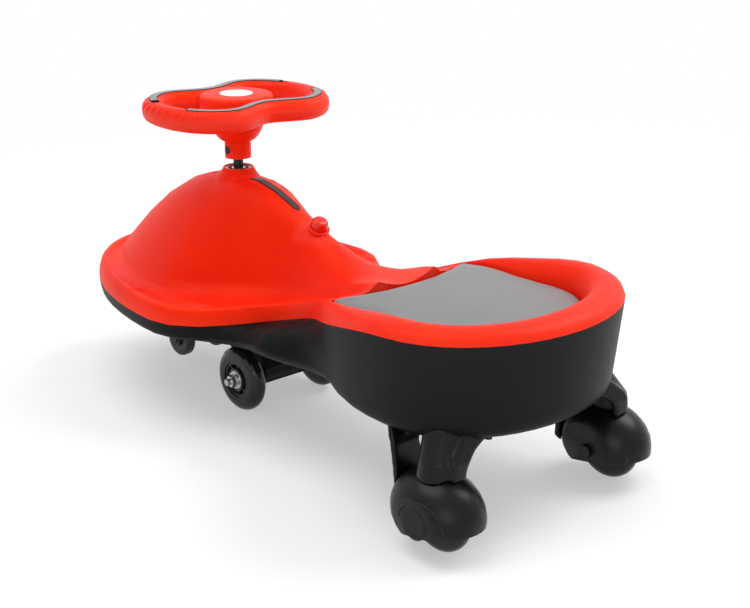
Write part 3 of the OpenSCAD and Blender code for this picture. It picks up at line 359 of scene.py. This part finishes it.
# A new piece with its finishes, on the body that carries it
def linkPiece(name, mesh, body, finishNames):
    piece = bpy.data.objects.new(name, mesh)
    scene.collection.objects.link(piece)
    for finish in finishNames:
        mesh.materials.append(finishes[finish])
    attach(piece, body)
    return piece


# A copy of a node's loose triangles, joined up
def mergedMesh(nodeName):
    bm = bmesh.new()
    bm.from_mesh(nodes[nodeName].data)
    bmesh.ops.remove_doubles(bm, verts=bm.verts, dist=0.00001)
    bmesh.ops.dissolve_degenerate(bm, edges=bm.edges, dist=0.000002)
    return bm


def softShade(bm, sharpAngle):
    for face in bm.faces:
        face.smooth = True
    for edge in bm.edges:
        edge.smooth = edge.calc_face_angle(0.0) < math.radians(sharpAngle)


def meshFrom(bm, name):
    mesh = bpy.data.meshes.new(name)
    bm.to_mesh(mesh)
    bm.free()
    if "custom_normal" in mesh.attributes:
        mesh.attributes.remove(mesh.attributes["custom_normal"])
    return mesh


def evaluatedMesh(piece):
    graph = bpy.context.evaluated_depsgraph_get()
    return bpy.data.meshes.new_from_object(piece.evaluated_get(graph))


def swapMesh(piece, mesh):
    old = piece.data
    piece.modifiers.clear()
    piece.data = mesh
    bpy.data.meshes.remove(old)


# One closed skin of even cells over a piece
def remeshed(piece, voxel):
    remesh = piece.modifiers.new("remesh", "REMESH")
    remesh.mode = "VOXEL"
    remesh.voxel_size = voxel
    swapMesh(piece, evaluatedMesh(piece))


def smoothed(bm, verts, turns):
    for turn in range(turns):
        bmesh.ops.smooth_vert(
            bm, verts=verts, factor=0.5, use_axis_x=True, use_axis_y=True, use_axis_z=True
        )


# Splits the edges inside a patch of faces, and rounds them by the patch's own normals
def refined(bm, patch, cuts):
    for vertex in {v for face in patch for v in face.verts}:
        own = [loop for loop in vertex.link_loops if loop.face in patch]
        vertex.normal = sum((loop.face.normal * loop.calc_angle() for loop in own), Vector()).normalized()
    inside = [edge for edge in bm.edges if edge.link_faces and all(f in patch for f in edge.link_faces)]
    bmesh.ops.subdivide_edges(bm, edges=inside, cuts=cuts, smooth=1.0, use_grid_fill=True)


waist = {
    "x": -0.0395,
    "reach": 0.026,
    "fill": 0.045,
    "wallReach": 0.1,  # length of tub wall to each side that is refined
    "wallFrom": 0.05,  # nearest to the middle
    "wallFlat": 0.93,  # flatter faces than this are floor or edge
    "wallCuts": 2,
}


# Rounds the fold where the body is narrowest
def easeWaist(bm):
    for vertex in bm.verts:
        off = (vertex.co.x - waist["x"]) / waist["reach"]
        vertex.co.y *= 1.0 + waist["fill"] * math.exp(-off * off)
    bm.normal_update()


# The tub's wall runs evenly through the waist
def shapeTub(bm):
    easeWaist(bm)
    patch = set()
    for face in bm.faces:
        middle = face.calc_center_median()
        outward = face.normal.y * middle.y > 0.0 and abs(face.normal.z) < waist["wallFlat"]
        near = abs(middle.x - waist["x"]) < waist["wallReach"] and abs(middle.y) > waist["wallFrom"]
        if outward and near:
            patch.add(face)
    refined(bm, patch, waist["wallCuts"])
    print("tub wall:", len(patch), "faces refined")


posts = {
    "screwHead": 0.004,
    "radius": 0.0063,
    "tailDepth": 0.02,  # how far below its top a post comes through the slope
    "noseDepth": 0.008,
    "flat": 0.999,  # a post's top face points this much up
    "touch": 0.000001,
}


# Takes off the corners of the screw posts at nose and tail that come through the slope of the cowl
def closePosts(bm):
    rear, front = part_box("shell_screws")
    tail = (rear[0] + posts["screwHead"], posts["tailDepth"])
    nose = (front[0] - posts["screwHead"], posts["noseDepth"])
    for x, depth in (tail, nose):
        column = {v for v in bm.verts if math.hypot(v.co.x - x, v.co.y) < posts["radius"]}
        own = [face for face in bm.faces if all(v in column for v in face.verts)]
        top = max((face.verts[0].co.z for face in own if face.normal.z > posts["flat"]), default=0.0)
        low, high = top - depth, top + posts["touch"]
        corner = [face for face in own if low < face.calc_center_median().z < high]
        bmesh.ops.delete(bm, geom=corner, context="FACES")
        gap = [edge for edge in bm.edges if edge.is_boundary]
        made = bmesh.ops.holes_fill(bm, edges=gap, sides=0)
        bmesh.ops.triangulate(bm, faces=made["faces"])
        print("post closed:", len(corner), "faces off,", len(gap), "edges filled")
    bm.normal_update()


hump = {
    "from": -0.03,
    "low": 0.15,
    "up": 0.02,  # faces that point less up than this aren't on the outside
    "fold": 24.0,  # sharper folds than this stay as they are
    "column": (0.1655, 0.026),  # place along the car, and radius that is left alone
    "button": (0.0135, 0.021),
    "cuts": 1,
}


# The hump swells between the stations of its solid
def shapeCowl(bm):
    easeWaist(bm)
    closePosts(bm)
    patch = set()
    for face in bm.faces:
        middle = face.calc_center_median()
        near = any(
            math.hypot(middle.x - x, middle.y) < radius for x, radius in (hump["column"], hump["button"])
        )
        folds = max(edge.calc_face_angle(0.0) for edge in face.edges)
        if middle.x > hump["from"] and middle.z > hump["low"] and face.normal.z > hump["up"]:
            if not near and folds < math.radians(hump["fold"]):
                patch.add(face)
    refined(bm, patch, hump["cuts"])
    print("cowl:", len(patch), "faces refined")


# A moulding with its facets shaded over
def moulding(nodeName, pieceName, body, finish, sharpAngle=34.0, shape=None):
    bm = mergedMesh(nodeName)
    if shape:
        shape(bm)
    softShade(bm, sharpAngle)
    piece = linkPiece(pieceName, meshFrom(bm, pieceName), body, [finish])
    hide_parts(nodeName)
    return piece


leg = {
    "voxel": 0.0018,
    "turns": 7,
    "sharp": 70.0,
    "tuckFrom": 0.098,  # the top is drawn in under the tub from this height
    "tuckOver": 0.03,
    "tuckIn": 0.012,
    "tuckAhead": 0.012,
}


# A rear leg, with the hard edges of its solid rounded as a mould leaves them
def makeLeg(side, way):
    piece = moulding("rear_leg_" + side, "leg." + side, "car_body", "legBlack")
    remeshed(piece, leg["voxel"])
    bm = bmesh.new()
    bm.from_mesh(piece.data)
    smoothed(bm, bm.verts, leg["turns"])
    for vertex in bm.verts:
        share = min(1.0, max(0.0, (vertex.co.z - leg["tuckFrom"]) / leg["tuckOver"]))
        vertex.co.x += leg["tuckAhead"] * share
        vertex.co.y -= way * leg["tuckIn"] * share
    softShade(bm, leg["sharp"])
    bm.to_mesh(piece.data)
    bm.free()


cowl = moulding("upper_shell", "cowl", "car_body", "red", sharpAngle=60.0, shape=shapeCowl)
moulding("lower_shell", "tub", "car_body", "black", sharpAngle=65.0, shape=shapeTub)
wheelTop = moulding("rim_top", "wheelTop", "steering", "red", sharpAngle=42.0)
moulding("rim_base", "wheelBase", "steering", "red", sharpAngle=42.0)
sides = {"left": 1.0, "right": -1.0}  # which way is out
housings = {}
for side, way in sides.items():
    makeLeg(side, way)
    housings[side] = moulding(
        "rear_fender_" + side, "wheelHousing." + side, "car_body", "legBlack",
        sharpAngle=40.0,
    )
print("mouldings shaded")

trims = {
    "edge": 0.0011,
    "upright": 0.6,  # faces that point more up than this are the strip's top
    "sharp": 40.0,
}


# A let-in strip: its top in one finish, with a dark line along each edge
def makeTrim(nodeName, pieceName, body, topFinish):
    bm = mergedMesh(nodeName)
    softShade(bm, trims["sharp"])
    top = [face for face in bm.faces if face.normal.z > trims["upright"]]
    bmesh.ops.inset_region(bm, faces=top, thickness=trims["edge"], use_even_offset=True)
    for face in top:
        face.material_index = 1
    piece = linkPiece(pieceName, meshFrom(bm, pieceName), body, ["trimEdge", topFinish])
    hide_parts(nodeName)


makeTrim("grip_strips", "gripStrips", "steering", "gripGrey")
makeTrim("ridge_strip", "ridgeFilm", "car_body", "strip")
print("strips let in")


# Round threads of plastic along lines of points, as one piece
def beads(name, lines, radius, body, finish):
    curve = bpy.data.curves.new(name, "CURVE")
    curve.dimensions = "3D"
    curve.bevel_depth = radius
    curve.bevel_resolution = 1
    curve.use_fill_caps = True
    for line in lines:
        spline = curve.splines.new("POLY")
        spline.points.add(len(line) - 1)
        for point, place in zip(spline.points, line):
            point.co = (*place, 1.0)
    holder = bpy.data.objects.new(name + "Path", curve)
    scene.collection.objects.link(holder)
    mesh = evaluatedMesh(holder)
    bpy.data.objects.remove(holder)
    bpy.data.curves.remove(curve)
    mesh.name = name
    mesh.shade_smooth()
    linkPiece(name, mesh, body, [finish])


def surfaceOf(piece):
    return BVHTree.FromObject(piece, bpy.context.evaluated_depsgraph_get())


def mix(first, second, share):
    return first + (second - first) * share


down = Vector((0.0, 0.0, -1.0))


# Point of a surface straight below a place
def dropped(surface, x, y):
    return surface.ray_cast(Vector((x, y, 1.0)), down)[0]


footRibs = {
    "from": (0.068, 0.118, 0.139),  # place along the car, inner end and outer end
    "middle": (0.116, 0.131, 0.153),
    "to": (0.181, 0.136, 0.154),
    "pitch": 0.0041,
    "radius": 0.0008,
    "points": 7,
}


# Fine ribs across each foot rest
def makeFootRibs():
    ground = surfaceOf(cowl)
    rows = int((footRibs["to"][0] - footRibs["from"][0]) / footRibs["pitch"]) + 1
    for side, way in sides.items():
        lines = []
        for row in range(rows):
            x = footRibs["from"][0] + row * footRibs["pitch"]
            first, last = footRibs["from"], footRibs["middle"]
            if x > last[0]:
                first, last = footRibs["middle"], footRibs["to"]
            share = (x - first[0]) / (last[0] - first[0])
            inner, outer = mix(first[1], last[1], share), mix(first[2], last[2], share)
            line = []
            for k in range(footRibs["points"]):
                y = way * mix(inner, outer, k / (footRibs["points"] - 1))
                line.append(dropped(ground, x, y))
            lines.append(line)
        beads("footRibs." + side, lines, footRibs["radius"], "car_body", "red")
    print("foot ribs:", rows, "on each side")


bossSkirt = {
    "lip": 0.0015,  # edge of the boss left bare under its top
    "reach": 0.013,
    "rearReach": 0.004,  # behind the boss, where the ridge strip starts
    "wall": 0.003,  # boss round the bearing
    "rings": 7,
    "steps": 64,
    "sink": 0.0004,  # of the outer edge, into the hump
    "onTop": 0.001,  # inside the boss's edge, where its height is read
}


# Fillet that runs from the boss round the column into the hump
def makeBossSkirt():
    ground = surfaceOf(cowl)
    low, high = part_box("column_bearing_outer")
    middle = Vector(((low[0] + high[0]) / 2, 0.0, 0.0))
    inner = (high[0] - low[0]) / 2 + bossSkirt["wall"]
    top = dropped(ground, middle.x + inner - bossSkirt["onTop"], 0.0).z
    bm = bmesh.new()
    row = [
        bm.verts.new((inner + bossSkirt["reach"] * k / bossSkirt["rings"], 0.0, 0.0))
        for k in range(bossSkirt["rings"] + 1)
    ]
    edges = [bm.edges.new(pair) for pair in zip(row, row[1:])]
    bmesh.ops.spin(
        bm, geom=row + edges, cent=(0.0, 0.0, 0.0), axis=(0.0, 0.0, 1.0), angle=math.tau,
        steps=bossSkirt["steps"], use_merge=True,
    )
    bmesh.ops.remove_doubles(bm, verts=bm.verts, dist=0.00001)
    for vertex in bm.verts:
        out = vertex.co.normalized()
        share = (vertex.co.length - inner) / bossSkirt["reach"]
        behind = max(0.0, -out.x) ** 2
        reach = mix(bossSkirt["reach"], bossSkirt["rearReach"], behind)
        spot = middle + out * (inner + reach * share)
        foot = min(dropped(ground, spot.x, spot.y).z, top - bossSkirt["lip"])
        rise = (top - bossSkirt["lip"] - foot) * (1.0 - share) ** 2
        vertex.co = Vector((spot.x, spot.y, foot + rise - bossSkirt["sink"] * share))
    bmesh.ops.recalc_face_normals(bm, faces=bm.faces)
    for face in bm.faces:
        face.smooth = True
    skirt = linkPiece("bossSkirt", meshFrom(bm, "bossSkirt"), "car_body", ["red"])
    print("boss skirt:", len(skirt.data.polygons), "faces")


capArc = {
    "middle": (-0.333, 0.035),  # place along the car, and height
    "across": 0.029,
    "first": 12.0,
    "last": 176.0,
    "points": 30,
    "radius": 0.0009,
}


# Raised edge round the outer face of each wheel housing
def makeCapArcs():
    for side, way in sides.items():
        shell = surfaceOf(housings[side])
        line = []
        for k in range(capArc["points"]):
            turn = math.radians(mix(capArc["first"], capArc["last"], k / (capArc["points"] - 1)))
            x = capArc["middle"][0] + capArc["across"] * math.cos(turn)
            z = capArc["middle"][1] + capArc["across"] * math.sin(turn)
            line.append(shell.ray_cast(Vector((x, way, z)), Vector((0.0, -way, 0.0)))[0])
        beads("capArc." + side, [line], capArc["radius"], "car_body", "legBlack")
    print("cap arcs laid")


gripTicks = {
    "lobe": 0.05,  # middle of the rim's end, from the column
    "first": 54.0,  # degrees round that middle
    "step": 11.9,
    "count": 8,
    "low": 0.004,  # heights over the middle of the rim
    "high": 0.0112,
    "points": 5,
    "radius": 0.0012,
    "outside": 0.12,  # start of each look inwards at the rim
}


# Short ridges over the shoulder of the steering wheel, at both ends
def makeGripTicks():
    rim = surfaceOf(wheelTop)
    low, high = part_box("rim_top")
    centre = Vector(((low[0] + high[0]) / 2, 0.0, low[2]))
    lines = []
    for way in sides.values():
        for k in range(gripTicks["count"]):
            turn = math.radians(gripTicks["first"] + k * gripTicks["step"])
            out = Vector((math.cos(turn), math.sin(turn), 0.0)) * way
            line = []
            for step in range(gripTicks["points"]):
                rise = mix(gripTicks["low"], gripTicks["high"], step / (gripTicks["points"] - 1))
                start = centre + Vector((0.0, way * gripTicks["lobe"], rise)) + out * gripTicks["outside"]
                line.append(rim.ray_cast(start, -out)[0])
            lines.append(line)
    beads("gripTicks", lines, gripTicks["radius"], "steering", "red")
    print("grip ticks:", len(lines))


pad = {
    "voxel": 0.0035,
    "pressure": 4.0,
    "frames": 20,
    "rise": 0.0025,  # most that the top may swell
    "spread": 0.0005,  # most that the sides may swell
    "held": 0.002,  # height of the underside that stays on the seat
    "turns": 2,
    "sharp": 80.0,
    "levels": 1,
}


# Seat pad: the foam swells under its cover, and its underside stays flat on the seat
def makePad():
    bm = mergedMesh("seat_pad")
    piece = linkPiece("seatPad", meshFrom(bm, "seatPad"), "car_body", ["pad"])
    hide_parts("seat_pad")
    remeshed(piece, pad["voxel"])
    rest = [vertex.co.copy() for vertex in piece.data.vertices]
    low = min(place.z for place in rest)
    held = piece.vertex_groups.new(name="held")
    held.add([k for k, place in enumerate(rest) if place.z < low + pad["held"]], 1.0, "REPLACE")
    cloth = piece.modifiers.new("cloth", "CLOTH")
    cloth.settings.use_pressure = True
    cloth.settings.uniform_pressure_force = pad["pressure"]
    cloth.settings.effector_weights.gravity = 0.0
    cloth.settings.vertex_group_mass = "held"
    for step in range(1, pad["frames"] + 1):
        scene.frame_set(step)
    swapMesh(piece, evaluatedMesh(piece))
    scene.frame_set(1)
    for vertex, place in zip(piece.data.vertices, rest):
        move = vertex.co - place
        flat = Vector((move.x, move.y, 0.0))
        if flat.length > pad["spread"]:
            flat *= pad["spread"] / flat.length
        rise = max(0.0, min(pad["rise"], move.z))
        vertex.co = place + flat + Vector((0.0, 0.0, rise))
    bm = bmesh.new()
    bm.from_mesh(piece.data)
    smoothed(bm, [v for v in bm.verts if v.co.z > low + pad["held"]], pad["turns"])
    softShade(bm, pad["sharp"])
    swapMesh(piece, meshFrom(bm, "seatPad"))
    piece.data.materials.clear()
    piece.data.materials.append(finishes["pad"])
    finer = piece.modifiers.new("finer", "SUBSURF")
    finer.levels = pad["levels"]
    finer.render_levels = pad["levels"]


makePad()
print("seat pad filled")
makeFootRibs()
makeBossSkirt()
makeCapArcs()
makeGripTicks()

# Finish of every solid that stays as it is
dressed = {
    "steel": [
        "shell_screws", "column_bearing_outer", "column_bearing_inner", "column_bearing_balls",
        "thrust_washer", "front_axle", "front_axle_nuts", "front_sleeves", "collar_nut", "rim_screws",
        "rear_sleeves", "button_spring", "front_axle_spacers",
    ],
    "darkSteel": ["steering_shaft", "collar_bolt", "leg_screws"],
    "nylon": ["column_bush"],
    "seal": ["column_bearing_seals"],
    "badge": ["hub_badge"],
    "button": ["push_button"],
    "red": ["button_guide"],
    "black": ["axle_carrier"],
    "legBlack": [],
    "core": [],
    "tyre": [],
}
for side in sides:
    dressed["tyre"] += ["front_tyre_" + side, "rear_tyre_" + side]
    dressed["core"] += ["front_core_" + side, "rear_core_" + side, "safety_wheel_" + side]
    dressed["legBlack"] += ["fender_cap_" + side, "safety_bracket_" + side]
    dressed["steel"] += ["front_bearings_" + side, "rear_bearings_" + side]
    dressed["darkSteel"] += ["rear_axle_" + side, "rear_nut_" + side, "safety_pin_" + side]
for finish, names in dressed.items():
    for name in names:
        nodes[name].data.materials.clear()
        nodes[name].data.materials.append(finishes[finish])
print("solids dressed:", sum(len(names) for names in dressed.values()))

studio = {
    "floorHalf": 4.0,
    "floorCells": 8,
    "floorCloud": 3.0,
    "floorRough": 0.9,
    "floorNear": 0.9,  # the floor keeps its shade to here, and is plain white further out
    "floorFar": 1.9,
    "middle": (-0.05, 0.0),
    "floorLift": 0.4,  # share of plain white in the near floor, which thins the shadow
    "worldLight": 0.55,
    "lamps": [  # place, aim, size, watts
        ((-0.6, -1.6, 2.2), (0.0, 0.0, 0.15), 1.8, 42.0),
        ((0.4, 0.6, 2.6), (0.0, 0.0, 0.1), 2.2, 34.0),
        ((-1.9, 1.7, 1.1), (0.0, 0.0, 0.15), 1.6, 9.0),
    ],
}


# A factor that is 1 where the background shows, straight, mirrored or through glass
def seenRays(graph):
    straight = graph.node("ShaderNodeLightPath", {}, {}, "Is Camera Ray")
    rays = straight.socket.node.outputs
    mirrored = Wire(graph, rays["Is Glossy Ray"])
    through = Wire(graph, rays["Is Transmission Ray"])
    return (straight + mirrored + through).over(0.5)


def makeFloor():
    bm = bmesh.new()
    cells = studio["floorCells"]
    bmesh.ops.create_grid(bm, x_segments=cells, y_segments=cells, size=studio["floorHalf"])
    floor = bpy.data.objects.new("floor", meshFrom(bm, "floor"))
    scene.collection.objects.link(floor)
    finish = Finish("paperFloor")
    cloud = finish.noise(studio["floorCloud"])
    colour = finish.blend(cloud, rgb(0.93, 0.93, 0.93), rgb(0.95, 0.95, 0.95))
    finish.look(colour, studio["floorRough"])
    reach = finish.node(
        "ShaderNodeVectorMath", {"operation": "DISTANCE"},
        {0: finish.place, 1: (*studio["middle"], 0.0)}, "Value",
    )
    far = finish.ramp(reach, studio["floorNear"], studio["floorFar"])
    share = (studio["floorLift"] + (1.0 - studio["floorLift"]) * far) * seenRays(finish)
    glow = finish.node("ShaderNodeEmission", {}, {"Color": white, "Strength": 1.0})
    paper = Wire(finish, finish.shader.outputs[0])
    both = finish.node("ShaderNodeMixShader", {}, {0: share, 1: paper, 2: glow})
    finish.plug(finish.tree.nodes["Material Output"].inputs["Surface"], both)
    floor.data.materials.append(finish.material)


def makeWorld():
    world = bpy.data.worlds.new("studio")
    world.use_nodes = True
    scene.world = world
    graph = Graph(world.node_tree)
    background = graph.tree.nodes["Background"]
    unseen = studio["worldLight"]
    graph.plug(background.inputs["Color"], white)
    graph.plug(background.inputs["Strength"], unseen + (1.0 - unseen) * seenRays(graph))


def makeLamps():
    for number, (place, aim, size, watts) in enumerate(studio["lamps"]):
        data = bpy.data.lights.new("softbox%d" % number, "AREA")
        data.shape = "DISK"
        data.size = size
        data.energy = watts
        lamp = bpy.data.objects.new(data.name, data)
        scene.collection.objects.link(lamp)
        lamp.location = place
        lamp.rotation_euler = (Vector(aim) - Vector(place)).to_track_quat("-Z", "Y").to_euler()


makeFloor()
makeWorld()
makeLamps()
scene.view_settings.view_transform = "Standard"
print("studio lit")
